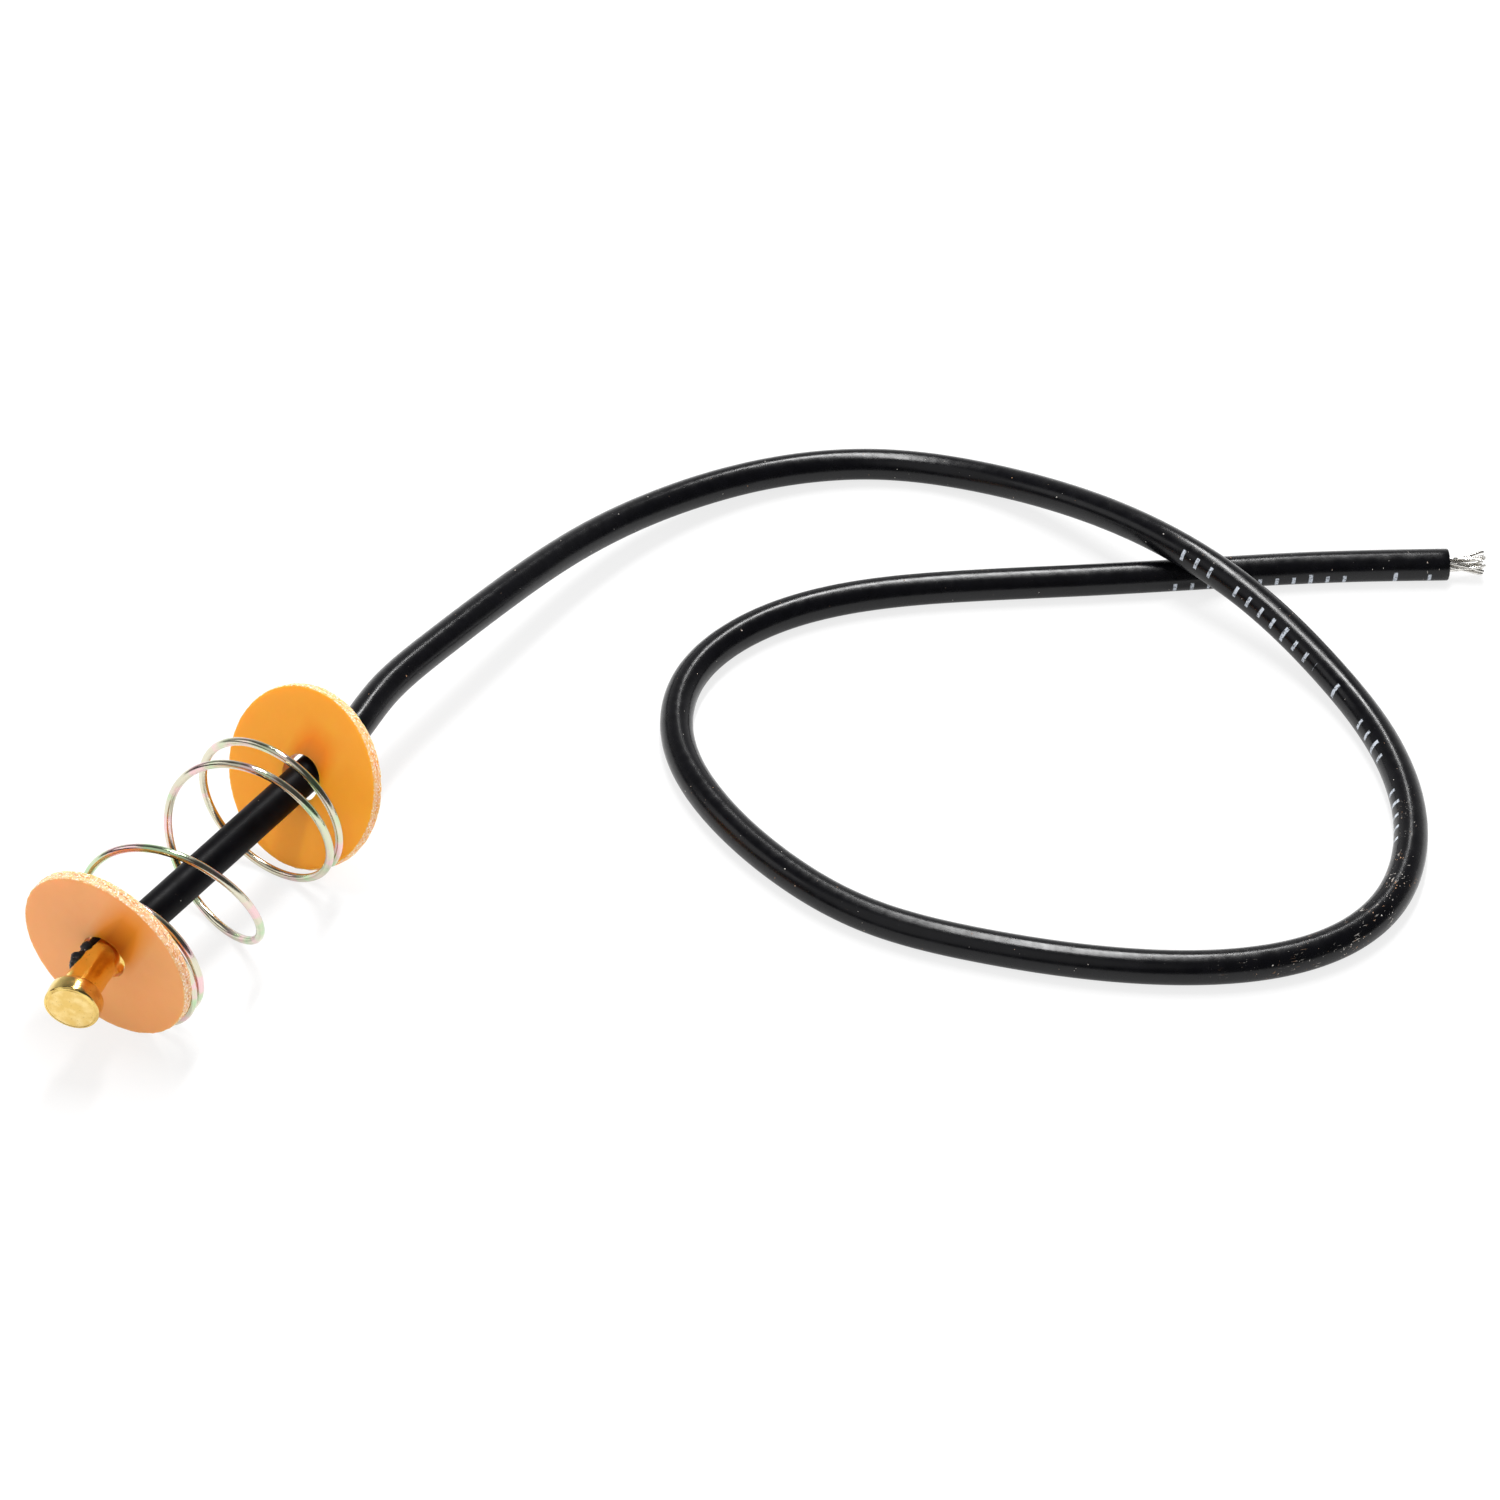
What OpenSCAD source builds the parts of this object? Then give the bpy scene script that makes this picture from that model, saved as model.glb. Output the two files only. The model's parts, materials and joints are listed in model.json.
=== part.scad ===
// Single-contact lamp socket lead: a brass contact on a loose, sprung lead.
// The lead runs along +X from the contact and then lies on the floor, z = 0.
// All sizes are in millimetres, all angles in degrees.

/* [Lead] */
// Outside diameter of the insulated lead
lead_d = 2.8; // [2.4:0.1:3.2]
// Clearance all round the conductor inside its insulation
core_gap = 0.05; // [0.02:0.01:0.08]
// Clearance all round the squeezed insulation inside the contact's barrel
squeeze_gap = 0.05; // [0.02:0.01:0.08]

/* [Strands] */
// Number of strands in the conductor
strand_count = 16; // [8:1:16]
// Diameter of one strand
strand_d = 0.254; // [0.2:0.01:0.3]
// Length of the bare strands past the insulation
bare_len = 3.2; // [2:0.1:6]
// How far the separate strands reach back inside the insulation
strand_tuck = 0.8; // [0.4:0.1:1.5]
// Share by which the strands spread at their tips
strand_splay = 0.35; // [0:0.05:0.6]
// Turn of the strands' lay over their visible length
strand_lay = 70; // [0:10:120]

/* [Washers] */
// Outside diameter of both insulating washers
washer_d = 15.24; // [14:0.1:18]
// Thickness of both washers
washer_t = 1; // [0.6:0.05:1.4]
// Diameter of the hole in both washers
hole_d = 3.9; // [3.8:0.05:4.2]
// Width of the broken edge round each washer
rim_break = 0.08; // [0.02:0.01:0.15]
// How far the contact's barrel hangs below the centre of the front washer
barrel_drop = 0.3; // [0:0.05:0.35]
// Turn of the front washer about the vertical
front_yaw = 4; // [0:1:8]
// Turn of the rear washer about the vertical
rear_yaw = -4; // [-6:1:0]
// Backward lean of the rear washer
rear_lean = 26; // [0:1:26]

/* [Contact] */
// Diameter of the contact's head
head_d = 4.5; // [4:0.1:5]
// Thickness of the head
head_t = 1.6; // [1.2:0.1:2.4]
// Rounding of the head's front edge
head_round = 0.5; // [0.2:0.05:0.6]
// Rounding of the head's back edge
head_back_round = 0.2; // [0.1:0.05:0.3]
// Outside diameter of the rolled barrel
barrel_d = 2.8; // [2.6:0.05:3]
// Thickness of the rolled sheet
barrel_wall = 0.3; // [0.2:0.05:0.4]
// Free barrel between the front washer's centre and the head
barrel_reach = 4.8; // [4:0.1:8]
// Length of barrel behind the front washer's centre
crimp_back = 1.4; // [1:0.1:2]
// Width of the open seam along the barrel
seam_w = 0.9; // [0.6:0.05:1.1]
// Place of the seam round the barrel, up from the left side
seam_angle = 50; // [0:1:90]
// How far the squeezed insulation stands out of the seam
seam_bulge = 0.5; // [0.1:0.05:0.5]
// Turn of the contact against the lead
contact_yaw = 14; // [0:1:15]

/* [Spring] */
// Wire diameter of the spring
spring_wire = 0.68; // [0.5:0.02:0.8]
// Outside diameter of the spring
spring_d = 13.8; // [12:0.1:15]
// Free length of the spring
spring_len = 20.4; // [16:0.2:22]
// Number of turns, with both closed ends
spring_turns = 4.3; // [3.5:0.1:6]
// Turns that lie closed at the front end
spring_closed_front = 1.1; // [0.75:0.05:1.25]
// Turns that lie closed at the rear end
spring_closed_rear = 0.75; // [0.75:0.05:1.25]
// Distance from one closed turn to the next, in wire diameters
spring_nest = 1.04; // [1.02:0.01:1.2]
// Gap between the spring and the front washer at its closest
spring_seat_gap = 0.1; // [0.05:0.05:0.3]
// Distance along the lead from the spring's rear end to the middle of the leaning rear washer
spring_rear_gap = 3.5; // [3.3:0.1:5]
// How far the middle of the spring lies to the right of the lead
spring_side = 0.25; // [0:0.05:0.5]
// Turn of the spring about the vertical
spring_yaw = 3; // [0:1:8]

/* [Hidden] */
$fn = 72;

function strand_name(i) = str("strand_", i < 10 ? "0" : "", i);

brass = [0.87, 0.70, 0.33];
fibre = [0.90, 0.60, 0.32];
fibre_bright = [0.97, 0.62, 0.18];
zinc = [0.72, 0.72, 0.60];
black = [0.06, 0.06, 0.07];
tinned = [0.78, 0.78, 0.80];

// The tail leaves the stem level and straight and comes down to the floor. It curves
// round in a loose loop, passes over its own end in a low hump, and ends bare.
// Each point is [x, y, share of the stem's height, hump in lead diameters], with x and y
// counted from the stem's end. The lead follows these points as a smooth spline.
tail_points = [
    [0, 0, 1, 0], [4, 0, 1, 0], [9.5, 1.5, 1, 0], [17, 1.5, 0.9, 0], [26, 1.5, 0.75, 0],
    [36.5, 1.5, 0.5, 0], [47, 0, 0.2, 0], [57, -4.5, 0.05, 0], [64.5, -12, 0, 0],
    [68, -21.5, 0, 0], [67.5, -32, 0, 0.7], [65.5, -42, 0, 1.25], [64, -51.5, 0, 0.85],
    [61, -60.5, 0, 0.1], [56, -68.5, 0, 0], [48.5, -75, 0, 0], [39.5, -78, 0, 0],
    [31.5, -76, 0, 0], [25, -70, 0, 0], [20, -61.5, 0, 0], [16.5, -52.5, 0, 0],
    [14, -43.5, 0, 0], [15, -34.5, 0, 0], [18, -25.5, 0, 0], [23, -18, 0, 0],
    [31, -14, 0, 0], [40, -15.5, 0, 0], [47.5, -20.5, 0, 0], [54, -28, 0, 0],
    [60.5, -36.5, 0, 0], [67.5, -45, 0, 0], [74, -53, 0, 0], [80, -61.5, 0, 0]
];
tail_rings = 56;
tail_sides = 8;
strand_rings = 7;
strand_sides = 6;
spring_rings_per_turn = 24;
spring_sides = 8;
// Place of the spring's rear tip round its axis, from the left side towards the top
spring_tip_angle = 213;
// Share of the active turns over which the pitch opens and closes at each end
spring_ease = 0.42;
// Straight lead behind the rear washer's centre
stem_past_washer = 2.6;
// Length by which one cut or joined shape runs past another
past = 1;
// Gap between the barrel's end and the full insulation
barrel_end_gap = 0.05;
// Teeth of the torn insulation along the seam
bulge_teeth = 6;
// Insulation left covered by brass behind the head
bulge_start = 2.4;

// Sizes that follow from the sizes above
washer_r = washer_d / 2;
strand_pitch = strand_d * 1.05;
core_d = 4 * strand_pitch + strand_d;
core_bore = core_d + 2 * core_gap;
barrel_bore = barrel_d - 2 * barrel_wall;
neck_d = barrel_bore - 2 * squeeze_gap;
coil_r = (spring_d - spring_wire) / 2;
stem_z = washer_r - barrel_drop;

// Directions that the washers' and the contact's axes point in
function heading(yaw, lean) = [cos(yaw) * cos(lean), sin(yaw) * cos(lean), -sin(lean)];
rear_axis = heading(rear_yaw, rear_lean);
contact_back = heading(contact_yaw, 0);

// Half the extent along one axis of a disc whose normal has this part along it
function disc_half(n) = washer_r * sqrt(1 - n * n) + washer_t / 2 * abs(n);

// Spring: its front turn clears the turned washer's back face all round, and the rear
// washer stands behind its other end
spring_stand = washer_t / 2 / cos(front_yaw) + coil_r * tan(abs(front_yaw - spring_yaw)) + spring_seat_gap;
washer_gap = spring_stand + spring_len + spring_rear_gap;

// Places along X with the bend behind the barrel as zero, then moved so that the
// origin is under the middle of the contact, the washers and the spring
bend_to_front = crimp_back * cos(contact_yaw);
head_face = crimp_back + barrel_reach + head_t;
box_low_x = -(head_face - head_round) * cos(contact_yaw)
    - (head_d / 2 - head_round) * sin(contact_yaw) - head_round;
box_high_x = washer_gap - bend_to_front + disc_half(rear_axis[0]);
box_low_y = -crimp_back * sin(contact_yaw) - disc_half(sin(front_yaw));
box_high_y = disc_half(rear_axis[1]);
bend = [-(box_low_x + box_high_x) / 2, -(box_low_y + box_high_y) / 2, stem_z];

front_at = bend - crimp_back * contact_back + [0, 0, barrel_drop];
rear_at = bend + [washer_gap - bend_to_front, 0, 0];
stem_end = rear_at + [stem_past_washer, 0, 0];

spring_travel = spring_len - spring_wire;
spring_mid = [
    front_at[0] + spring_stand + spring_len / 2,
    bend[1] - spring_side,
    coil_r + spring_wire / 2
];
spring_back = heading(spring_yaw, 0);
spring_left = [-sin(spring_yaw), cos(spring_yaw), 0];
closed_rise = spring_wire * spring_nest;
active_rise = spring_travel - closed_rise * spring_turns;

function eased(u) =
    u < spring_ease ? u * u / (2 * spring_ease * (1 - spring_ease)) :
    u < 1 - spring_ease ? (u - spring_ease / 2) / (1 - spring_ease) :
    1 - (1 - u) * (1 - u) / (2 * spring_ease * (1 - spring_ease));
function clamp01(u) = min(1, max(0, u));
function spring_run(turn) = closed_rise * turn + active_rise * eased(clamp01(
    (turn - spring_closed_rear) / (spring_turns - spring_closed_rear - spring_closed_front)));
function spring_out(turn) =
    let (a = spring_tip_angle - 360 * turn)
    cos(a) * spring_left + sin(a) * [0, 0, 1];
function spring_at(turn) = spring_mid
    + (spring_travel / 2 - spring_run(turn)) * spring_back + coil_r * spring_out(turn);

// Lead: a uniform cubic spline, with a mirrored point past each end
function tail_point(p) = stem_end + [
    p[0],
    p[1],
    (p[2] - 1) * (stem_z - lead_d / 2) + p[3] * lead_d
];
tail_last = len(tail_points) - 1;
function tail_knot(i) =
    i < 0 ? 2 * tail_point(tail_points[0]) - tail_point(tail_points[1]) :
    i > tail_last ? 2 * tail_point(tail_points[tail_last]) - tail_point(tail_points[tail_last - 1]) :
    tail_point(tail_points[i]);
function spline(a, b, c, d, t) = (
    pow(1 - t, 3) * a + (3 * pow(t, 3) - 6 * t * t + 4) * b
    + (-3 * pow(t, 3) + 3 * t * t + 3 * t + 1) * c + pow(t, 3) * d
) / 6;
function tail_at(u) =
    let (i = min(floor(u), tail_last - 1))
    spline(tail_knot(i - 1), tail_knot(i), tail_knot(i + 1), tail_knot(i + 2), u - i);
// The second ring lies close behind the first, so that the tail leaves the stem square
tail_spots = concat([0, 0.1], [for (k = [1:tail_rings]) k * tail_last / tail_rings]);
tail_path = [for (spot = tail_spots) tail_at(spot)];

// Frame at the tail's cut end: out along the lead, to its left, and up
tail_end = tail_path[tail_rings + 1];
tail_out = unit(tail_end - tail_path[tail_rings]);
tail_left = unit(cross([0, 0, 1], tail_out));
tail_up = cross(tail_out, tail_left);

// The conductor's line, cut where the stem ends
core_stem_path = [bend - (crimp_back + barrel_reach - barrel_end_gap) * contact_back, bend, stem_end];
core_tail_path = concat(
    [for (k = [0:tail_rings]) tail_path[k]],
    [tail_end - strand_tuck * tail_out]
);

// Strands lie as one in the middle, five round it and ten outside
function strand_ring(i) = i == 1 ? 0 : i <= 6 ? 1 : 2;
function strand_turn(i) = i == 1 ? 0 : i <= 6 ? (i - 2) * 72 : (i - 7) * 36 + 18;
function strand_reach(i) = bare_len - 0.25 * pow(sin(i * 77), 2);
function strand_at(i, k) =
    let (
        share = k / (strand_rings - 1),
        out = -strand_tuck + share * (strand_reach(i) + strand_tuck),
        open = max(0, out) / bare_len,
        r = strand_ring(i) * strand_pitch * (1 + strand_splay * open * open * (1 + 0.6 * sin(i * 131))),
        a = strand_turn(i) + strand_lay * open
    )
    tail_end + out * tail_out + r * (cos(a) * tail_left + sin(a) * tail_up);

// ---- swept tubes ----

function unit(v) = v / norm(v);
function path_tangent(path, k) =
    unit(path[min(k + 1, len(path) - 1)] - path[max(k - 1, 0)]);
function path_ring(path, k, r, sides) =
    let (
        t = path_tangent(path, k),
        side = unit(cross([0, 0, 1], t)),
        up = cross(t, side)
    )
    [for (j = [0:sides - 1]) path[k] + r * (cos(j * 360 / sides) * side + sin(j * 360 / sides) * up)];
function path_skin(path, r, sides) =
    [for (k = [0:len(path) - 1]) each path_ring(path, k, r, sides)];

// Wall between ring k and ring k + 1 of a skin, as triangles
function wall(k, sides, base, inward) = [
    for (j = [0:sides - 1])
        let (
            a = base + k * sides + j,
            b = base + k * sides + (j + 1) % sides,
            c = a + sides,
            d = b + sides
        )
        each (inward ? [[a, b, d], [a, d, c]] : [[a, d, b], [a, c, d]])
];
// Ring-shaped end face between an outer ring that starts at a and an inner one at b
function end_ring(a, b, sides, flip) = [
    for (j = [0:sides - 1])
        let (
            a2 = a + (j + 1) % sides,
            b2 = b + (j + 1) % sides
        )
        each (flip ? [[a + j, b + j, b2], [a + j, b2, a2]] : [[a + j, b2, b + j], [a + j, a2, b2]])
];

module rod(path, r, sides) {
    last = len(path) - 1;
    polyhedron(
        points = path_skin(path, r, sides),
        faces = concat(
            [[for (j = [0:sides - 1]) j]],
            [for (k = [0:last - 1]) each wall(k, sides, 0, false)],
            [[for (j = [sides - 1:-1:0]) last * sides + j]]
        )
    );
}

module pipe(path, r, bore_r, sides) {
    last = len(path) - 1;
    inner = (last + 1) * sides;
    polyhedron(
        points = concat(path_skin(path, r, sides), path_skin(path, bore_r, sides)),
        faces = concat(
            [for (k = [0:last - 1]) each wall(k, sides, 0, false)],
            [for (k = [0:last - 1]) each wall(k, sides, inner, true)],
            end_ring(0, inner, sides, false),
            end_ring(last * sides, inner + last * sides, sides, true)
        )
    );
}

// ---- placing ----

// Stands a shape made along +Z on a point, with +Z turned towards the back
module facing_back(at, yaw, lean) {
    translate(at) rotate([0, 0, yaw]) rotate([0, 90 + lean, 0]) children();
}
// The same for the contact: +Z towards the head, from the bend behind the barrel
module along_contact() {
    translate(bend) rotate([0, 0, contact_yaw]) rotate([0, -90, 0]) children();
}

// ---- sub-parts ----

module washer_blank() {
    rotate_extrude() polygon([
        [hole_d / 2, -washer_t / 2],
        [washer_r - rim_break, -washer_t / 2],
        [washer_r, -washer_t / 2 + rim_break],
        [washer_r, washer_t / 2 - rim_break],
        [washer_r - rim_break, washer_t / 2],
        [hole_d / 2, washer_t / 2]
    ]);
}

module front_washer() {
    color(fibre) facing_back(front_at, front_yaw, 0) washer_blank();
}

module rear_washer() {
    color(fibre_bright) facing_back(rear_at, rear_yaw, rear_lean) washer_blank();
}

// Half outline of the head from its axis, its back at 0, with both edges rounded
module head_outline() {
    side_t = head_t - head_round - head_back_round;
    square([head_d / 2 - head_round, head_t]);
    square([head_d / 2 - head_back_round, head_t - head_round]);
    translate([0, head_back_round]) square([head_d / 2, side_t]);
    translate([head_d / 2 - head_back_round, head_back_round]) circle(r = head_back_round);
    translate([head_d / 2 - head_round, head_t - head_round]) circle(r = head_round);
}

// A bar that stands out from the barrel's axis on the side of the seam
module seam_bar(stand, width, low, high) {
    rotate([0, 0, 90 - seam_angle]) translate([0, -width / 2, low]) cube([stand, width, high - low]);
}

module contact() {
    back = crimp_back + barrel_reach;
    color(brass) along_contact() {
        translate([0, 0, back]) rotate_extrude() head_outline();
        difference() {
            cylinder(d = barrel_d, h = back + head_back_round);
            translate([0, 0, -past]) cylinder(d = barrel_bore, h = back + past);
            seam_bar(barrel_d, seam_w, -past, back - bulge_start / 2);
        }
    }
}

// Torn insulation that stands out of the seam as a row of uneven teeth
module seam_teeth() {
    first = crimp_back - washer_t / 2;
    tooth = (crimp_back + barrel_reach - bulge_start - first) / bulge_teeth;
    for (i = [0:bulge_teeth - 1]) {
        stand = barrel_d / 2 + seam_bulge * (0.55 + 0.45 * sin(i * 100 + 40));
        width = seam_w - 2 * squeeze_gap * (1 + i % 2);
        seam_bar(stand, width, first + i * tooth, first + (i + 1.01) * tooth);
    }
}

module lead_stem() {
    reach = crimp_back + barrel_reach - barrel_end_gap;
    length = stem_end[0] - bend[0];
    color(black) difference() {
        union() {
            difference() {
                translate(bend - [past, 0, 0]) rotate([0, 90, 0]) cylinder(d = lead_d, h = length + past);
                along_contact() translate([-lead_d, -lead_d, -barrel_end_gap])
                    cube([2 * lead_d, 2 * lead_d, 3 * past]);
            }
            along_contact() translate([0, 0, -past / 2]) cylinder(d = neck_d, h = reach + past / 2);
            along_contact() seam_teeth();
        }
        along_contact() cylinder(d = core_bore, h = reach + past);
        translate(bend) sphere(d = core_bore);
        translate(bend) rotate([0, 90, 0]) cylinder(d = core_bore, h = length + past);
    }
}

module lead_tail() {
    color(black) pipe(tail_path, lead_d / 2, core_bore / 2, tail_sides);
}

module core_stem() {
    color(tinned) rod(core_stem_path, core_d / 2, tail_sides);
}

module core_tail() {
    color(tinned) rod(core_tail_path, core_d / 2, tail_sides);
}

module strand(i) {
    color(tinned) rod([for (k = [0:strand_rings - 1]) strand_at(i, k)], strand_d / 2, strand_sides);
}

module spring() {
    steps = round(spring_turns * spring_rings_per_turn);
    color(zinc) coil([for (k = [0:steps]) k * spring_turns / steps]);
}

// Round wire wound along the spring's own line, one ring for each turn value
module coil(turns) {
    last = len(turns) - 1;
    skin = [
        for (turn = turns)
            let (
                centre = spring_at(turn),
                t = unit(spring_at(turn + 0.01) - spring_at(turn - 0.01)),
                out = spring_out(turn),
                side = cross(t, out)
            )
            each [
                for (j = [0:spring_sides - 1])
                    centre + spring_wire / 2 * (cos(j * 360 / spring_sides) * out + sin(j * 360 / spring_sides) * side)
            ]
    ];
    polyhedron(
        points = skin,
        faces = concat(
            [[for (j = [0:spring_sides - 1]) j]],
            [for (k = [0:last - 1]) each wall(k, spring_sides, 0, false)],
            [[for (j = [spring_sides - 1:-1:0]) last * spring_sides + j]]
        )
    );
}

contact();
front_washer();
rear_washer();
spring();
lead_stem();
core_stem();
lead_tail();
core_tail();
for (i = [1:strand_count]) strand(i);
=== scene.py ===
import json
import math
from functools import reduce

import bpy
from mathutils import Matrix, Vector, noise


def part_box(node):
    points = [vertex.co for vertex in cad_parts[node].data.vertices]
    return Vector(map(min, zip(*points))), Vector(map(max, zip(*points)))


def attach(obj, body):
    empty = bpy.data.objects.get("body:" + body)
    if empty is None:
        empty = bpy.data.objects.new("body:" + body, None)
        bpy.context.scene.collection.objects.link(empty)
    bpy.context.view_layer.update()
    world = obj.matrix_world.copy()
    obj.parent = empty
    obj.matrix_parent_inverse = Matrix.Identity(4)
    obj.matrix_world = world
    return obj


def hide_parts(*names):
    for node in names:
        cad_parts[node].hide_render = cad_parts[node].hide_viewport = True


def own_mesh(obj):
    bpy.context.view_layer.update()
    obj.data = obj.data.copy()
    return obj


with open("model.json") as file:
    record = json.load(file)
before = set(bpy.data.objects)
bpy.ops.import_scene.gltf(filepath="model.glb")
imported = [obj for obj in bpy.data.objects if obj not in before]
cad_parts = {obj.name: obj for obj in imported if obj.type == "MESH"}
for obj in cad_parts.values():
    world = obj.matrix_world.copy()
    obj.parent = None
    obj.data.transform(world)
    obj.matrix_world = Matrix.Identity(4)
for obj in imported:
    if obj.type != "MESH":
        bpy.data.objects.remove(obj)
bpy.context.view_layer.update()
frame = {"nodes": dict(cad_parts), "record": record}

bl_info = {
    "name": "Lamp socket lead",
    "version": (1, 0, 0),
    "blender": (4, 5, 0),
    "location": "View3D > Sidebar > Lamp Lead",
    "description": "Brass lamp contact on a sprung, insulated lead",
    "category": "Add Mesh",
}

MM = 0.001
UP = Vector((0, 0, 1))
MOUNTS = {mount["name"]: mount for mount in frame["record"]["mounts"]}


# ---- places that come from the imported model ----


def mount_at(name):
    """Centre of a mount and its axis, as unit vector."""
    return Vector(MOUNTS[name]["pos_m"]), Vector(MOUNTS[name]["axis"]).normalized()


def corners(node):
    """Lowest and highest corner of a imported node."""
    low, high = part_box(node)
    return Vector(low), Vector(high)


FACE_AT, FACE_OUT = mount_at("contact_face")
FRONT_AT, FRONT_OUT = mount_at("front_washer_rim")
REAR_AT, REAR_BACK = mount_at("rear_washer_rim")
WASHER_RADIUS = MOUNTS["front_washer_rim"]["dims"]["r_mm"] * MM
STEM_END = Vector((corners("lead_stem")[1].x, REAR_AT.y, REAR_AT.z))
# The contact's axis meets the lead's own axis at the bend behind the barrel
BEND_TO_FACE = (REAR_AT.y - FACE_AT.y) / -FACE_OUT.y
BEND_AT = FACE_AT - FACE_OUT * BEND_TO_FACE
CONTACT_LEFT = UP.cross(-FACE_OUT).normalized()

# The lead's route, as in the solid model: x and y in mm from the end of the straight
# stretch, share of the straight stretch's height, and hump in lead diameters.
TAIL_ROUTE = [
    (0, 0, 1, 0), (4, 0, 1, 0), (9.5, 1.5, 1, 0), (17, 1.5, 0.9, 0), (26, 1.5, 0.75, 0),
    (36.5, 1.5, 0.5, 0), (47, 0, 0.2, 0), (57, -4.5, 0.05, 0), (64.5, -12, 0, 0),
    (68, -21.5, 0, 0), (67.5, -32, 0, 0.7), (65.5, -42, 0, 1.25), (64, -51.5, 0, 0.85),
    (61, -60.5, 0, 0.1), (56, -68.5, 0, 0), (48.5, -75, 0, 0), (39.5, -78, 0, 0),
    (31.5, -76, 0, 0), (25, -70, 0, 0), (20, -61.5, 0, 0), (16.5, -52.5, 0, 0),
    (14, -43.5, 0, 0), (15, -34.5, 0, 0), (18, -25.5, 0, 0), (23, -18, 0, 0), (31, -14, 0, 0),
    (40, -15.5, 0, 0), (47.5, -20.5, 0, 0), (54, -28, 0, 0), (60.5, -36.5, 0, 0),
    (67.5, -45, 0, 0), (74, -53, 0, 0), (80, -61.5, 0, 0),
]
TAIL_LENGTH = 0.298


# ---- sizes and colours ----


def number(name, text, value, **more):
    """A setting that is one plain number."""
    return bpy.props.FloatProperty(name=name, description=text, default=value, **more)


def metres(name, text, value):
    return number(name, text, value, unit="LENGTH")


def angle(name, text, value):
    return number(name, text, value, subtype="ANGLE")


def tint(name, text, value):
    return bpy.props.FloatVectorProperty(name=name, description=text, default=value, subtype="COLOR")


class LeadSettings(bpy.types.PropertyGroup):
    """Sizes and colours of the insulated lead and its strands"""

    diameter: metres("Diameter", "Outside diameter of the insulation", 2.8 * MM)
    strand_d: metres("Strand", "Diameter of one strand", 0.254 * MM)
    bare_length: metres("Bare end", "Length of the strands past the insulation", 3.2 * MM)
    insulation: tint("Insulation", "Colour of the vinyl", (0.0018, 0.0018, 0.0026))
    marks: tint("Length marks", "Colour of the printed ticks", (0.50, 0.54, 0.60))
    strands: tint("Strands", "Colour of the tinned strands", (0.80, 0.78, 0.74))


class WasherSettings(bpy.types.PropertyGroup):
    """Sizes and colours of the two insulating washers"""

    radius: metres("Radius", "Outside radius of both washers", WASHER_RADIUS)
    thickness: metres("Thickness", "Thickness of both washers", 1.0 * MM)
    hole: metres("Hole", "Radius of the hole in both washers", 1.95 * MM)
    front_face: tint("Front face", "Colour of the front washer", (0.83, 0.385, 0.125))
    rear_face: tint("Rear face", "Colour of the rear washer", (0.99, 0.42, 0.03))
    cut_edge: tint("Cut edge", "Colour of the bare fibres at the cut rim", (0.80, 0.52, 0.29))


class SpringSettings(bpy.types.PropertyGroup):
    """Sizes and colours of the coil spring"""

    wire: metres("Wire", "Diameter of the spring wire", 0.68 * MM)
    outside: metres("Diameter", "Outside diameter of the spring", 13.8 * MM)
    length: metres("Length", "Free length of the spring", 20.4 * MM)
    turns: number("Turns", "Number of turns with both closed ends", 4.3)
    closed_front: number("Closed in front", "Turns that lie closed at the front end", 1.1)
    closed_rear: number("Closed behind", "Turns that lie closed at the rear end", 0.75)
    seat_gap: metres("Seat gap", "Gap between the spring and the front washer", 0.1 * MM)
    aside: metres("Aside", "How far the spring lies to the right of the lead", 0.25 * MM)
    yaw: angle("Turn", "Turn of the spring about the vertical", math.radians(3))
    steel: tint("Plating", "Colour of the plated wire", (0.66, 0.63, 0.50))
    green: tint("Green tint", "Green shimmer of the passivation", (0.42, 0.66, 0.38))
    pink: tint("Pink tint", "Pink shimmer of the passivation", (0.84, 0.52, 0.60))


class ContactSettings(bpy.types.PropertyGroup):
    """Sizes and colours of the brass contact"""

    head_radius: metres("Head", "Radius of the contact's head", 2.25 * MM)
    head_thickness: metres("Head thickness", "Thickness of the head", 1.6 * MM)
    barrel_radius: metres("Barrel", "Outside radius of the rolled barrel", 1.4 * MM)
    sheet: metres("Sheet", "Thickness of the rolled sheet", 0.3 * MM)
    seam_angle: angle("Seam", "Place of the open seam, up from the left side", math.radians(50))
    seam_width: metres("Seam width", "Width of the open seam", 0.9 * MM)
    brass: tint("Brass", "Colour of the brass", (0.80, 0.595, 0.20))
    tarnish: tint("Tarnish", "Colour of the darker stains", (0.42, 0.24, 0.06))


class StageSettings(bpy.types.PropertyGroup):
    """Camera, lamps and floor"""

    lens: number("Lens", "Focal length on a 36 mm sensor, in millimetres", 105.0)
    floor: tint("Floor", "Colour of the floor", (0.93, 0.93, 0.93))
    sky: number("Sky", "Strength of the even light from all round", 0.63)
    overhead: number("Overhead lamp", "Power of the softbox above, in watts", 5.2)


# ---- meshes ----


def new_object(name, data):
    """A new object in the scene."""
    thing = bpy.data.objects.new(name, data)
    bpy.context.scene.collection.objects.link(thing)
    return thing


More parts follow.
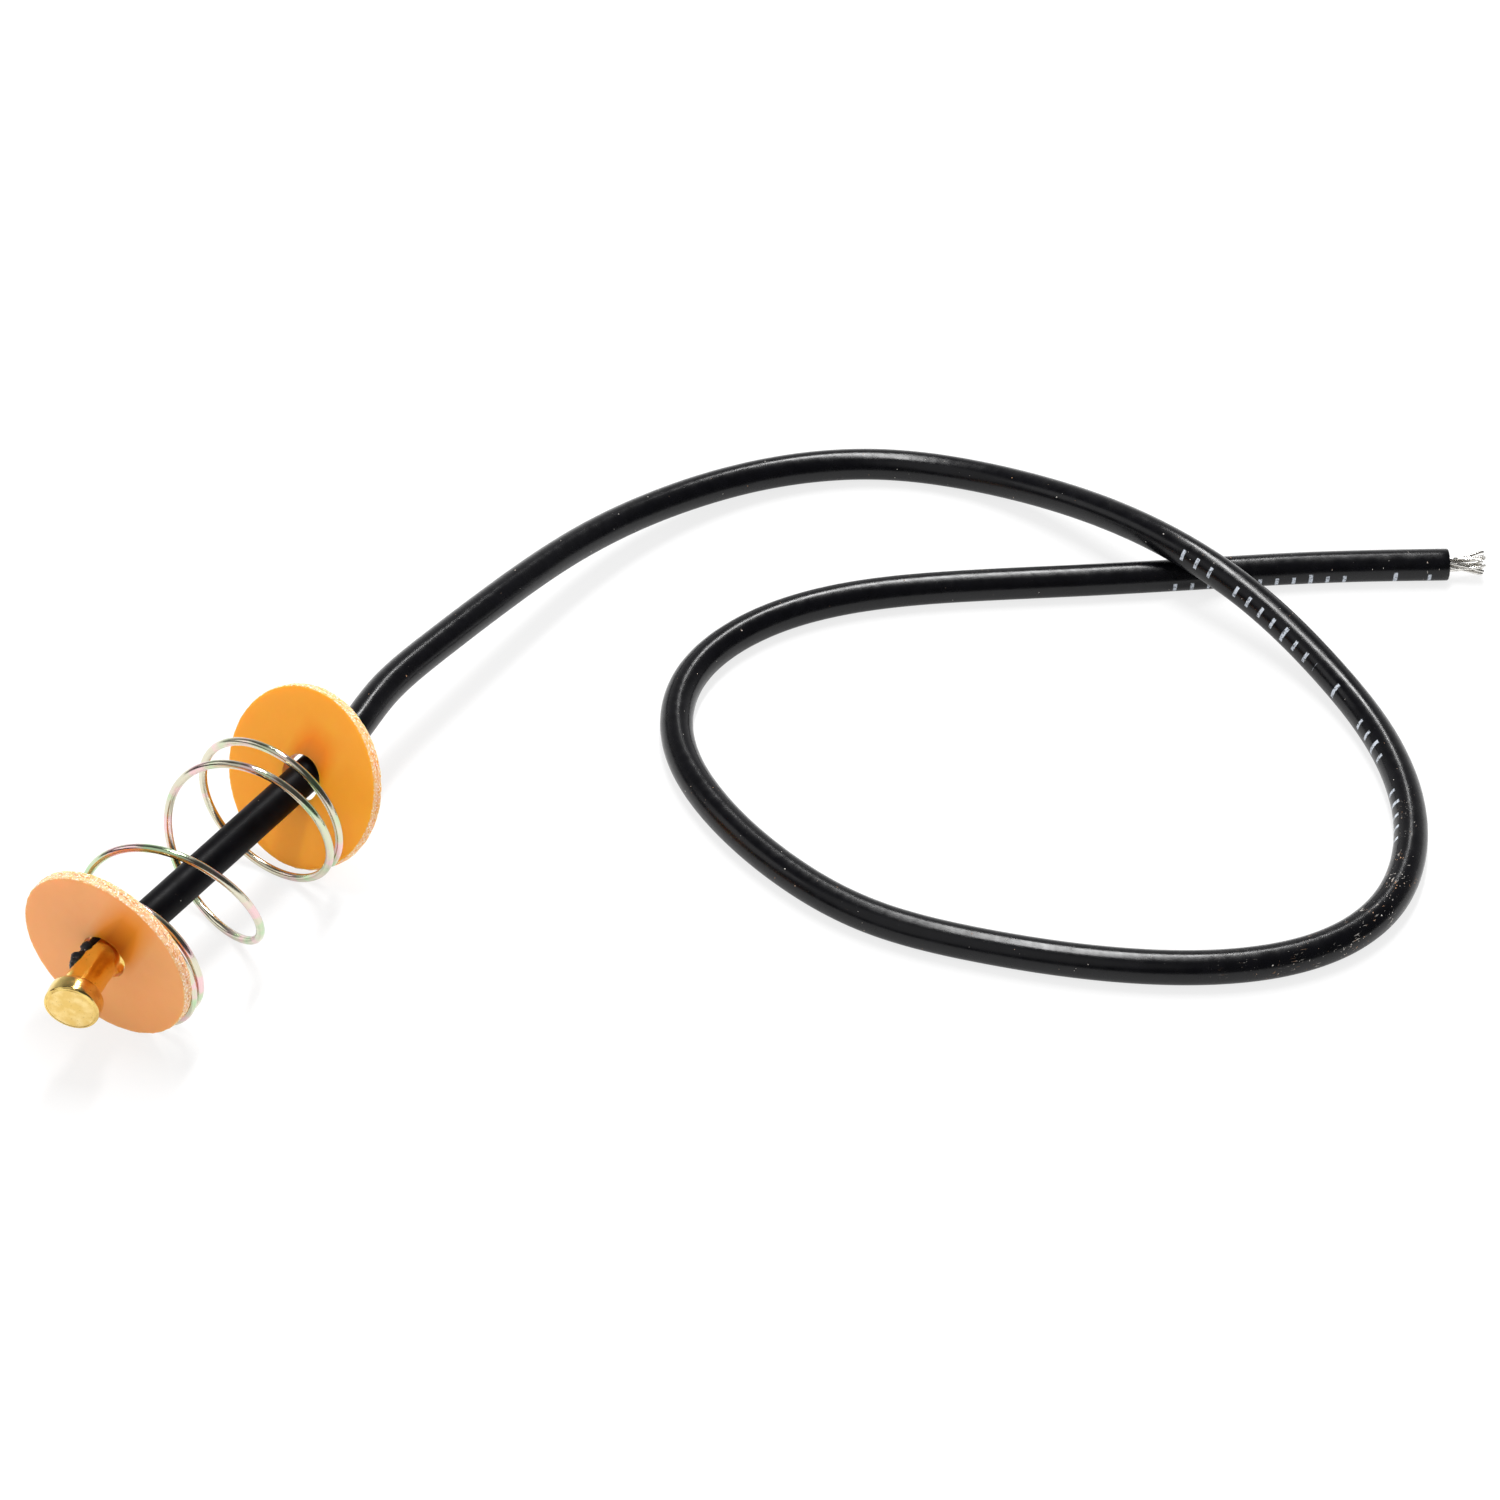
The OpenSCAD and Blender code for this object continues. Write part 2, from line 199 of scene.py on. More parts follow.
def skin(name, rings, along=None, caps=(True, True), sharp=40):
    """A smooth skin over closed rings of points, mapped along and round them."""
    sides, count = len(rings[0]), len(rings)
    points = [point for ring in rings for point in ring]
    faces, spots = [], []
    along = along or [k / (count - 1) for k in range(count)]
    for k in range(count - 1):
        here, there = k * sides, (k + 1) * sides
        for j in range(sides):
            after = (j + 1) % sides
            faces.append((here + j, here + after, there + after, there + j))
            spots.append(((along[k], j / sides), (along[k], (j + 1) / sides),
                          (along[k + 1], (j + 1) / sides), (along[k + 1], j / sides)))
    ends = ((range(sides)[::-1], along[0]), (range((count - 1) * sides, count * sides), along[-1]))
    for wanted, (end, spot) in zip(caps, ends):
        if wanted:
            faces.append(tuple(end))
            spots.append([(spot, 0.0)] * sides)
    mesh = bpy.data.meshes.new(name)
    mesh.from_pydata(points, [], faces)
    layer = mesh.uv_layers.new(name="lay")
    for face, corner_spots in zip(mesh.polygons, spots):
        for loop, spot in zip(face.loop_indices, corner_spots):
            layer.data[loop].uv = spot
    mesh.polygons.foreach_set("use_smooth", [True] * len(mesh.polygons))
    mesh.set_sharp_from_angle(angle=math.radians(sharp))
    mesh.update()
    return new_object(name, mesh)


def mark_points(piece, name, values):
    """A value for each point of a piece, for its finish to read."""
    piece.data.attributes.new(name, "FLOAT", "POINT").data.foreach_set("value", values)


def join(name, pieces):
    """One object of several, which keeps their maps and finishes."""
    bpy.ops.object.select_all(action="DESELECT")
    for piece in pieces:
        piece.select_set(True)
    bpy.context.view_layer.objects.active = pieces[0]
    bpy.ops.object.join()
    pieces[0].name = name
    return pieces[0]


def turns_round(sides):
    """Evenly spaced angles of a full circle."""
    return [2 * math.pi * j / sides for j in range(sides)]


def across(way):
    """Two directions square to a way: level, and upward."""
    side = UP.cross(way).normalized()
    return side, way.cross(side)


def swing(side, up, turn):
    """The direction at an angle from side towards up."""
    return side * math.cos(turn) + up * math.sin(turn)


def on_circle(turn, height):
    return Vector((math.cos(turn), math.sin(turn), height))


def ring_round(centre, side, up, radius_at, sides):
    """Points round a centre; radius_at gives the radius for an angle."""
    return [centre + swing(side, up, turn) * radius_at(turn) for turn in turns_round(sides)]


def directions(path):
    """Unit direction of a line of points at each of them."""
    pairs = zip([path[0], *path[:-1]], [*path[1:], path[-1]])
    return [(after - before).normalized() for before, after in pairs]


def lengths_along(path):
    """Distance of each point from the first one, along the line."""
    run = [0.0]
    for a, b in zip(path, path[1:]):
        run.append(run[-1] + (b - a).length)
    return run


def clamp(value):
    return min(1.0, max(0.0, value))


def bump_at(point, size, seed):
    """Smooth noise from -1 to 1 with features of about this size."""
    return noise.noise(point / size + Vector((seed, 2.3 * seed, -seed)))


def give(piece, finish, body="lead", replaces=()):
    """Finish and body of a new piece, and the solid nodes it replaces hidden, in one call."""
    piece.data.materials.clear()
    piece.data.materials.append(finish)
    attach(piece, body)
    if replaces:
        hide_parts(*replaces)
    return piece


# ---- finishes ----

DUST = (0.55, 0.52, 0.48)
RUSTY_DUST = (0.40, 0.22, 0.12)
STRESSED_VINYL = (0.42, 0.34, 0.28)
# Pale colour of the painted glints on the washers' cut edges
PAINTED_FIBRE_GLINT = (0.93, 0.84, 0.72)
DRAWING_LINE = (0.40, 0.38, 0.26)
RUBBED_BRASS = (0.72, 0.495, 0.15)
BRIGHT_BRASS = (0.83, 0.63, 0.27)
# Amber of the painted reflection of the orange washers on the barrel
WASHER_REFLECTION_AMBER = (0.90, 0.65, 0.11)
PITTED_BRASS = (0.30, 0.18, 0.05)


def scaled(colour, factors):
    """A colour with each channel multiplied by its factor."""
    return [channel * factor for channel, factor in zip(colour, factors)]


class Nodes:
    """A node tree with short ways to add and link nodes."""

    def __init__(self, tree):
        self.nodes, self.links = tree.nodes, tree.links

    def add(self, kind, inputs=(), **settings):
        node = self.nodes.new(kind)
        for name, value in settings.items():
            setattr(node, name, value)
        for key, value in dict(inputs).items():
            if hasattr(value, "node"):
                self.links.new(value, node.inputs[key])
            else:
                node.inputs[key].default_value = value
        return node

    def calc(self, operation, *values):
        """A calculation with one to three values."""
        return self.add("ShaderNodeMath", enumerate(values), operation=operation).outputs[0]

    def vector(self, operation, a, b):
        return self.add("ShaderNodeVectorMath", {0: a, 1: b}, operation=operation).outputs[0]

    def dot(self, a, b):
        return self.add("ShaderNodeVectorMath", {0: a, 1: b}, operation="DOT_PRODUCT").outputs["Value"]

    def grain(self, where, size, detail=3.0, stretch=(1, 1, 1)):
        """Noise from 0 to 1 with features of a size in metres, stretched along an axis."""
        where = self.vector("MULTIPLY", where, stretch)
        inputs = {"Vector": where, "Scale": 1 / size, "Detail": detail}
        return self.add("ShaderNodeTexNoise", inputs).outputs["Fac"]

    def ramp(self, value, low, high, start=0.0, end=1.0):
        """Value from low to high, spread over start to end and held there."""
        return self.add("ShaderNodeMapRange", {0: value, 1: low, 2: high, 3: start, 4: end}).outputs[0]

    def patches(self, where, size, detail, low, high, start=0.0, end=1.0):
        """Cloudy patches: the grain from low to high, spread over start to end."""
        return self.ramp(self.grain(where, size, detail), low, high, start, end)

    def band(self, value, low, high, soft):
        """1 between low and high, falling to 0 over soft on both sides."""
        rise = self.ramp(value, low - soft, low)
        fall = self.ramp(value, high, high + soft, 1.0, 0.0)
        return self.times(rise, fall)

    def times(self, *values):
        return reduce(lambda a, b: self.calc("MULTIPLY", a, b), values)

    def most(self, *values):
        return reduce(lambda a, b: self.calc("MAXIMUM", a, b), values)

    def tones(self, value, stops):
        """Grey for a value, from pairs of value and tone."""
        node = self.add("ShaderNodeValToRGB", {0: value})
        elements = node.color_ramp.elements
        while len(elements) < len(stops):
            elements.new(0.5)
        for element, (spot, tone) in zip(elements, stops):
            element.position, element.color = spot, (tone, tone, tone, 1)
        return node.outputs[0]

    def blend(self, share, a, b, how="MIX"):
        """Colour a where share is 0, colour b where it is 1."""
        node = self.add("ShaderNodeMix", {"Factor": share}, data_type="RGBA", blend_type=how)
        for index, colour in ((6, a), (7, b)):
            if hasattr(colour, "node"):
                self.links.new(colour, node.inputs[index])
            else:
                node.inputs[index].default_value = (*colour[:3], 1)
        return node.outputs[2]


class Finish(Nodes):
    """A material under construction."""

    def __init__(self, name, **sockets):
        self.material = bpy.data.materials.new(name)
        self.material.use_nodes = True
        super().__init__(self.material.node_tree)
        self.shader = self.nodes["Principled BSDF"]
        for socket, value in sockets.items():
            self.shader.inputs[socket.replace("_", " ")].default_value = value

    def place(self):
        return self.add("ShaderNodeTexCoord").outputs["Object"]

    def map(self):
        return self.add("ShaderNodeUVMap", uv_map="lay").outputs["UV"]

    def mark(self, name):
        """A mesh attribute, such as the one that marks a washer's cut edge."""
        return self.add("ShaderNodeAttribute", attribute_name=name).outputs["Fac"]

    def done(self, colour, rough, height, depth, strength):
        """The material with its colour, bump and, unless it is even, roughness."""
        bump = self.add("ShaderNodeBump", {"Height": height, "Distance": depth, "Strength": strength})
        sockets = {"Base Color": colour, "Roughness": rough, "Normal": bump.outputs[0]}
        for socket, output in sockets.items():
            if output is not None:
                self.links.new(output, self.shader.inputs[socket])
        return self.material


def insulation_finish(name, lead, dull):
    """Glossy black vinyl with faint ripples, rows of pale length marks, dust and scuffs."""
    make = Finish(name, Roughness=0.2, IOR=1.5, Specular_IOR_Level=0.27 - dull)
    place, lay = make.place(), make.map()
    split = make.add("ShaderNodeSeparateXYZ", {0: lay})
    along, round_it = split.outputs[0], split.outputs[1]
    tone = make.grain(place, 1.2 * MM, 4.0)
    vinyl = make.blend(make.ramp(tone, 0.35, 0.7), lead.insulation, [1.6 * c for c in lead.insulation])
    # Ticks in groups along one side, every fifth one longer
    centre = make.calc("MULTIPLY_ADD", along, MARK_TWIST, MARK_TURN)
    aside = make.calc("SUBTRACT", round_it, centre)
    bars = []
    for pitch, width, reach in MARK_TICKS:
        spot = make.calc("MODULO", along, pitch)
        bar = make.band(spot, MARK_START - width / 2, MARK_START + width / 2, 0.05 * MM)
        bars.append(make.times(bar, make.band(aside, -reach, reach, 0.008)))
    groups = [make.band(along, *group, 0.02 * MM) for group in MARK_GROUPS]
    worn = make.patches(place, 0.2 * MM, 2.0, 0.36, 0.52, 0.25, 1.0)
    ticks = make.times(make.most(*bars), make.most(*groups), worn)
    # Dust and scuffs gather on the tight bend, with a few specks everywhere
    dusty = make.band(along, *DUST_STRETCH, DUST_FADE)
    specks = make.patches(place, 0.2 * MM, 1.0, 0.685, 0.72)
    cloudy = make.patches(place, 1.7 * MM, 2.0, 0.48, 0.60)
    scuffs = make.ramp(make.grain(lay, 0.001, 2.0, (0.9, 0.05, 1)), 0.64, 0.70, 0.0, 0.6)
    bend_dust = make.times(dusty, cloudy, make.most(specks, scuffs))
    stray = make.patches(place, 0.3 * MM, 1.0, 0.775, 0.80, 0.0, 0.8)
    dust = make.most(bend_dust, stray)
    rust = make.patches(place, 0.8 * MM, 1.0, 0.50, 0.60)
    dusted = make.blend(dust, vinyl, make.blend(rust, DUST, RUSTY_DUST))
    colour = make.blend(ticks, dusted, lead.marks)
    rough = make.patches(place, 0.9 * MM, 4.0, 0.3, 0.75, 0.19 + dull, 0.30 + dull)
    ripple = make.calc("ADD", make.grain(place, 1.8 * MM, 2.0), make.times(dust, 0.3))
    return make.done(colour, make.calc("ADD", rough, dust), ripple, 0.04 * MM, 0.5)


def torn_vinyl_finish(lead):
    """Matt black vinyl where the crimp has squeezed and torn it, with pale stress marks."""
    make = Finish("torn_vinyl", Roughness=0.42, IOR=1.5, Specular_IOR_Level=0.35)
    place = make.place()
    pale = make.patches(place, 0.2 * MM, 3.0, 0.66, 0.70, 0.0, 0.7)
    colour = make.blend(pale, lead.insulation, STRESSED_VINYL)
    return make.done(colour, None, make.grain(place, 0.22 * MM, 3.0), 0.06 * MM, 0.7)


def fibre_finish(name, face, washers, hole_at, back_way, shadow):
    """Fibre sheet: smooth faces with the lead's shadow painted into their colour, and a rough, pale cut
    edge.
    """
    make = Finish(name, Roughness=0.5, IOR=1.5, Specular_IOR_Level=0.3, Subsurface_Weight=0.6,
                  Subsurface_Scale=1.5 * MM)
    make.shader.inputs["Subsurface Radius"].default_value = (1.0, 0.45, 0.15)
    place = make.place()
    edge = make.mark("cut_edge")
    mottle = make.patches(place, 1.5 * MM, 3.0, 0.35, 0.68)
    sheet = make.blend(mottle, face, scaled(face, (0.985, 0.965, 0.93)))
    # Painted shadow of the lead, which blocks the light that comes through from behind, in a band away
    # from the hole
    turn, deep, reach = shadow
    left, up = across(back_way)
    from_hole = make.vector("SUBTRACT", place, hole_at)
    out = make.dot(from_hole, swing(left, up, turn))
    aside = make.calc("ABSOLUTE", make.dot(from_hole, swing(up, -left, turn)))
    narrow = make.ramp(aside, 0.7 * MM, 2.5 * MM, 1.0, 0.0)
    fading = make.ramp(out, 2.0 * MM, reach, 1.0, 0.0)
    shade = make.times(narrow, fading, make.ramp(out, -0.6 * MM, 1.5 * MM))
    core = make.blend(make.ramp(shade, 0.45, 1.0), scaled(face, (0.94, 0.66, 0.08)), deep)
    lit = make.blend(make.ramp(shade, 0.0, 0.55), sheet, core)
    # The cut edge: pale fibres, a dark ply line along its middle and painted glints, pale specks in
    # place of highlights
    fibres = make.grain(place, 0.3 * MM, 4.0, (2.8, 0.6, 0.6))
    frayed = scaled(face, (0.82, 0.78, 0.8))
    frayed = make.blend(make.ramp(fibres, 0.36, 0.54), frayed, washers.cut_edge)
    middle = make.band(make.dot(from_hole, back_way), -0.03 * MM, 0.02 * MM, 0.06 * MM)
    ply = make.times(middle, make.ramp(fibres, 0.40, 0.55, 0.9, 0.2))
    frayed = make.blend(ply, frayed, scaled(face, (0.62, 0.42, 0.3)))
    # Painted highlights: pale specks on the cut edge that stand in for glints of light
    painted_glints = make.patches(place, 0.16 * MM, 2.0, 0.55, 0.65)
    frayed = make.blend(painted_glints, frayed, PAINTED_FIBRE_GLINT)
    colour = make.blend(edge, lit, frayed)
    rough = make.ramp(edge, 0.0, 1.0, 0.42, 0.8)
    pulp = make.grain(place, 0.2 * MM, 3.0, (2.2, 1, 1))
    pulp = make.times(pulp, make.ramp(edge, 0.0, 1.0, 0.02, 1.0))
    return make.done(colour, rough, pulp, 0.08 * MM, 0.8)


def plated_wire_finish(spring):
    """Zinc-plated wire whose clear passivation shimmers green and pink along its length."""
    make = Finish("plated_wire", Metallic=1.0, Roughness=0.16)
    place, lay = make.place(), make.map()
    drift = make.grain(place, 3.4 * MM, 2.0)
    green = make.blend(make.ramp(drift, 0.50, 0.62, 0.0, 0.8), spring.steel, spring.green)
    pink_drift = make.grain(place, 2.6 * MM, 2.0, (0.8, 1.0, 1.3))
    tinted = make.blend(make.ramp(pink_drift, 0.54, 0.64, 0.0, 0.7), green, spring.pink)
    drawn = make.grain(lay, 0.001, 3.0, (0.15, 0.02, 1))
    lines = make.ramp(drawn, 0.4, 0.8, 0.0, 0.3)
    colour = make.blend(lines, tinted, DRAWING_LINE)
    rough = make.patches(place, 0.8 * MM, 3.0, 0.3, 0.75, 0.10, 0.24)
    return make.done(colour, rough, make.grain(place, 0.5 * MM, 2.0), 0.03 * MM, 0.25)


def brass_finish(contact):
    """Rolled brass: warm, stained in patches, finely pitted and rubbed on the face."""
    make = Finish("rolled_brass", Metallic=1.0, Roughness=0.22)
    place = make.place()
    stain = make.patches(place, 1.3 * MM, 3.0, 0.50, 0.72)
    warm = make.blend(make.times(stain, 0.6), contact.brass, contact.tarnish)
    rubbed = make.mark("rubbed")
    cloud = make.patches(place, 0.8 * MM, 3.0, 0.42, 0.68)
    warm = make.blend(rubbed, warm, make.blend(cloud, RUBBED_BRASS, BRIGHT_BRASS))
    # A painted reflection of the orange washers: an amber cast on the barrel, which ends at the head
    forward = make.dot(make.vector("SUBTRACT", place, BEND_AT), FACE_OUT)
    back = BEND_TO_FACE - contact.head_thickness
    painted_reflection = make.ramp(forward, back - 0.5 * MM, back + 0.1 * MM, 0.7, 0.0)
    warm = make.blend(painted_reflection, warm, WASHER_REFLECTION_AMBER)
    pits = make.patches(place, 0.12 * MM, 1.0, 0.70, 0.74, 0.0, 0.7)
    colour = make.blend(pits, warm, PITTED_BRASS)
    rough = make.patches(place, 0.7 * MM, 3.0, 0.3, 0.75, 0.14, 0.26)
    rough = make.calc("ADD", rough, make.ramp(rubbed, 0.0, 1.0, 0.0, 0.14))
    dents = make.calc("ADD", make.grain(place, 0.8 * MM, 2.0), make.times(pits, -0.25))
    return make.done(colour, rough, dents, 0.06 * MM, 0.35)


def tinned_finish(lead):
    """Tinned copper: silver with slight dull patches and drawing lines."""
    make = Finish("tinned_copper", Metallic=1.0, Roughness=0.25)
    place = make.place()
    dull = make.patches(place, 0.35 * MM, 4.0, 0.45, 0.7)
    colour = make.blend(dull, lead.strands, [0.72 * c for c in lead.strands])
    rough = make.ramp(dull, 0.0, 1.0, 0.2, 0.4)
    return make.done(colour, rough, make.grain(place, 0.12 * MM, 3.0), 0.02 * MM, 0.5)


# ---- the lead ----

# Place of the length marks round the lead, in turns from its left side over the top, and
# how it drifts along the lead, in turns per metre. Each kind of mark has its pitch, its
# width and half its reach round the lead in turns. Groups and dust are in metres along it.
MARK_TURN = 0.35
MARK_TWIST = 0.683
MARK_TICKS = ((1.5 * MM, 0.26 * MM, 0.052), (7.5 * MM, 0.3 * MM, 0.078))
MARK_START = 0.75 * MM
MARK_GROUPS = (
    (0.1002, 0.1050), (0.1068, 0.1176), (0.1196, 0.1216), (0.1246, 0.1302), (0.1336, 0.1410),
    (0.2726, 0.2768), (0.2784, 0.2890), (0.2920, 0.2936), (0.2956, 0.2974),
)
DUST_STRETCH = (0.143, 0.156)
DUST_FADE = 9 * MM
LEAD_SIDES = 40
RINGS_PER_SPAN = 14
BORE_IN_STRANDS = 2.85  # radius of the insulation's bore, in strand diameters
# Ring and place round it in degrees of each strand: one in the middle, five, then ten
STRAND_LAY = [(0, 0), *((1, 72 * i) for i in range(5)), *((2, 36 * i + 18) for i in range(10))]
STRAND_PARTS = 24
STRAND_SIDES = 14
STRAND_ROOT = 0.8 * MM  # how far a strand reaches back inside the insulation
STRAND_SWAY = 0.22 * MM
STRAND_PARTING = 0.16 * MM


def tail_knot(i):
    """A point of the lead's route in metres; one past either end mirrors its neighbour."""
    last = len(TAIL_ROUTE) - 1
    if i < 0:
        return 2 * tail_knot(0) - tail_knot(1)
    if i > last:
        return 2 * tail_knot(last) - tail_knot(last - 1)
    x, y, share, hump = TAIL_ROUTE[i]
    lead_d = bpy.context.scene.lamp_lead.diameter
    rise = (share - 1) * (STEM_END.z - lead_d / 2) + hump * lead_d
    return STEM_END + Vector((x * MM, y * MM, rise))


def tail_point(u):
    """The lead's centre line: a smooth spline through the route."""
    i = min(int(u), len(TAIL_ROUTE) - 2)
    t = u - i
    weights = ((1 - t) ** 3, 3 * t**3 - 6 * t * t + 4, -3 * t**3 + 3 * t * t + 3 * t + 1, t**3)
    return sum((tail_knot(i - 1 + n) * w for n, w in enumerate(weights)), Vector()) / 6


def tail_line():
    spans = (len(TAIL_ROUTE) - 1) * RINGS_PER_SPAN
    return [tail_point(k / RINGS_PER_SPAN) for k in range(spans + 1)]


def lead_ring(centre, direction, radius_at, sides=LEAD_SIDES):
    return ring_round(centre, *across(direction), radius_at, sides)


def uneven_ring(centre, direction, radius, joint_distance):
    """A ring of insulation, slightly swollen or thin away from the joint of its two pieces."""
    calm = min(1.0, joint_distance / (4 * MM))
    swell = 1 + 0.006 * calm * bump_at(centre, 7 * MM, 4.0) - 0.002
    return lead_ring(centre, direction, lambda _: radius * swell)


def cut_end(path, ways, radius, bore):
    """Rings that close the insulation at its cut end: a rough shoulder, then the bore."""
    centre, out = path[-1], ways[-1]

    def rough(scale, depth, seed):
        return lambda turn: scale * (1 + depth * noise.noise(on_circle(turn, seed) * 2.4))

    return [
        lead_ring(centre - out * 0.16 * MM, out, rough(radius, 0.0, 0)),
        lead_ring(centre - out * 0.05 * MM, out, rough(radius * 0.97, 0.02, 3)),
        lead_ring(centre, out, rough(radius * 0.86, 0.05, 5)),
        lead_ring(centre + out * 0.02 * MM, out, rough(bore * 1.15, 0.08, 7)),
        lead_ring(centre - out * 0.25 * MM, out, rough(bore, 0.03, 9)),
        lead_ring(centre - out * 1.2 * MM, out, rough(bore * 0.97, 0.0, 0)),
    ]


def build_tail(lead, vinyl):
    """The loose lead, from the straight stretch to its cut end."""
    path = tail_line()
    ways = directions(path)
    ways[0] = Vector((1, 0, 0))
    run = lengths_along(path)
    radius = lead.diameter / 2
    rings = [uneven_ring(*place, radius, far) for *place, far in zip(path[:-1], ways, run)]
    end = cut_end(path, ways, radius, lead.strand_d * BORE_IN_STRANDS)
    rings += end
    along = run[:-1] + [run[-1]] * len(end)
    piece = skin("lead_tail_vinyl", rings, along, caps=(False, True), sharp=50)
    give(piece, vinyl, replaces=["lead_tail"])
    return piece, path, run[-1]


def strand_line(index, ring, turn, lead, base, out, left, up):
    """One bare strand: it follows the lay, then springs a little way out of it."""
    reach = lead.bare_length - 0.25 * MM * math.sin(math.radians(index * 77)) ** 2
    pitch = lead.strand_d * 1.05
    points = []
    for k in range(STRAND_PARTS + 1):
        forward = -STRAND_ROOT + k / STRAND_PARTS * (reach + STRAND_ROOT)
        bare = max(0.0, forward) / lead.bare_length
        spread = 1 + 0.5 * bare**2 * (1 + 0.6 * math.sin(math.radians(index * 131)))
        radius = ring * pitch * spread
        at = turn + math.radians(85 if index % 3 else -60) * bare
        sideways = bump_at(Vector((index, bare * 1.6, 0)), 1, 1) * STRAND_SWAY * bare
        upward = bump_at(Vector((index, 0, bare * 1.6)), 1, 2) * STRAND_SWAY * bare
        parted = math.copysign(STRAND_PARTING, math.sin(turn + 0.6)) * bare**2 if ring else 0.0
        shift = left * (radius * math.cos(at) + sideways)
        rise = up * (radius * math.sin(at) + parted + upward)
        points.append(base + out * forward + shift + rise)
    return points


def build_strands(lead, tin, path):
    """The bare tinned strands at the lead's end."""
    out = (path[-1] - path[-8]).normalized()
    left, up = across(out)
    made = []
    for index, (ring, place) in enumerate(STRAND_LAY, 1):
        line = strand_line(index, ring, math.radians(place), lead, path[-1], out, left, up)
        rings = [lead_ring(centre, way, lambda _: lead.strand_d / 2, STRAND_SIDES)
                 for centre, way in zip(line, directions(line))]
        piece = skin(f"bare_strand_{index:02d}", rings, lengths_along(line))
        made.append(give(piece, tin, replaces=[f"strand_{index:02d}"]))
    return made


# ---- the contact ----

# The barrel sits left of and above its axis, which it leaves over a short stretch at the
# bend. Places along it are distances forward from the bend.
SHIFT_LEFT, SHIFT_UP, SHIFT_EASE = 0.38 * MM, 0.34 * MM, 1.2 * MM
NECK_START, NECK_EASE = -0.3 * MM, 0.35 * MM
NECK_PARTS, NECK_SIDES = 30, 32
RIDGE_START, RIDGE_END = 0.9 * MM, 4.7 * MM
BARREL_START = 0.25 * MM
SEAM_CLOSES = 4.1 * MM
BARREL_SWELL = 0.12 * MM
# Long dents and flares of the barrel: place round it and width in degrees, depth in mm
DENTS_AT, DENTS_REACH = 4.3 * MM, 1.4 * MM
DENTS = ((84, 0.14, 17), (132, 0.12, 15), (184, 0.08, 18), (285, 0.12, 22))
FLARES_AT, FLARES_REACH = 1.7 * MM, 0.75 * MM
FLARES = ((128, 0.30, 38), (216, 0.42, 16))
HEAD_ASIDE = 0.7  # the head's share of the barrel's shift
HEAD_TURN = math.radians(8)
HEAD_SIDES = 112


def contact_point(forward, turn, radius, aside=1.0):
    """A point round the contact's axis; the angle goes from its left side over the top."""
    share = clamp(forward / SHIFT_EASE) * aside
    shift = CONTACT_LEFT * (SHIFT_LEFT * share)
    spot = BEND_AT + FACE_OUT * forward + shift + UP * (SHIFT_UP * share)
    return spot + swing(CONTACT_LEFT, UP, turn) * radius


def build_stem(lead, contact, vinyl, torn):
    """Straight insulation under the washers, its squeezed neck and the torn ridge in the seam."""
    radius = lead.diameter / 2
    stem, run, steps = [], [], 60
    start = BEND_AT.x - 0.1 * MM
    for k in range(steps + 1):
        x = start + (STEM_END.x - start) * k / steps
        centre = Vector((x, STEM_END.y, STEM_END.z))
        stem.append(uneven_ring(centre, Vector((1, 0, 0)), radius, STEM_END.x - x))
        run.append(x - STEM_END.x)
    straight = skin("stem_straight", stem, run, caps=(True, False))
    give(straight, vinyl)
    neck = []
    back = BEND_TO_FACE - contact.head_thickness
    thin = (contact.barrel_radius - contact.sheet) * 0.97
    for k in range(NECK_PARTS + 1):
        forward = NECK_START + (back - 0.1 * MM - NECK_START) * k / NECK_PARTS
        squeeze = thin + (radius - thin) * clamp(1 - forward / NECK_EASE)
        neck.append([contact_point(forward, turn, squeeze) for turn in turns_round(NECK_SIDES)])
    neck_piece = skin("stem_neck", neck, [0.0] * len(neck))
    give(neck_piece, torn)
    ridge = build_torn_ridge(contact)
    give(ridge, torn)
    piece = join("lead_stem_vinyl", [straight, neck_piece, ridge])
    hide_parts("lead_stem")
    return piece


def seam_at(contact, forward):
    """Place of the seam round the barrel: it drifts down towards the head."""
    share = clamp((forward - 1.7 * MM) / (2.3 * MM))
    return contact.seam_angle + math.radians(14 - 34 * share)


def build_torn_ridge(contact):
    """Ragged vinyl that stands out of the open seam, taller and lower by turns."""
    foot = contact.barrel_radius - contact.sheet
    rows = []
    steps, parts = 80, 14
    for k in range(steps + 1):
        share = k / steps
        forward = RIDGE_START + (RIDGE_END - RIDGE_START) * share
        jag = noise.noise(Vector((share * 8, 0.3, 0))) + 0.8 * noise.noise(Vector((share * 23, 4.1, 0)))
        jag += 0.8 * math.sin(share * 21 - 0.6)
        ends = min(1.0, share * 7, (1 - share) * 8)
        height = contact.barrel_radius + (0.42 * MM + 0.15 * MM * jag) * ends - 0.15 * MM * (1 - ends)
        # Lower inside the front washer's hole
        height = min(height, 1.62 * MM if forward < 2.0 * MM else 2.05 * MM)
        width = contact.seam_width * (0.66 + 0.16 * noise.noise(Vector((share * 13, 9.0, 0))))
        row = []
        for j in range(parts + 1):
            side = 2 * j / parts - 1
            crest = 1 - abs(side) ** 3.2
            lift = 0.07 * MM * noise.noise(Vector((share * 26, side * 2.5, 6)))
            radius = foot + (height - foot) * crest
            at = seam_at(contact, forward) + side * width / contact.barrel_radius
            row.append(contact_point(forward, at, radius + lift * crest))
        row.append(contact_point(forward, seam_at(contact, forward), 0.75 * MM))
        rows.append(row)
    return skin("torn_ridge", rows, [0.0] * (steps + 1), sharp=30)


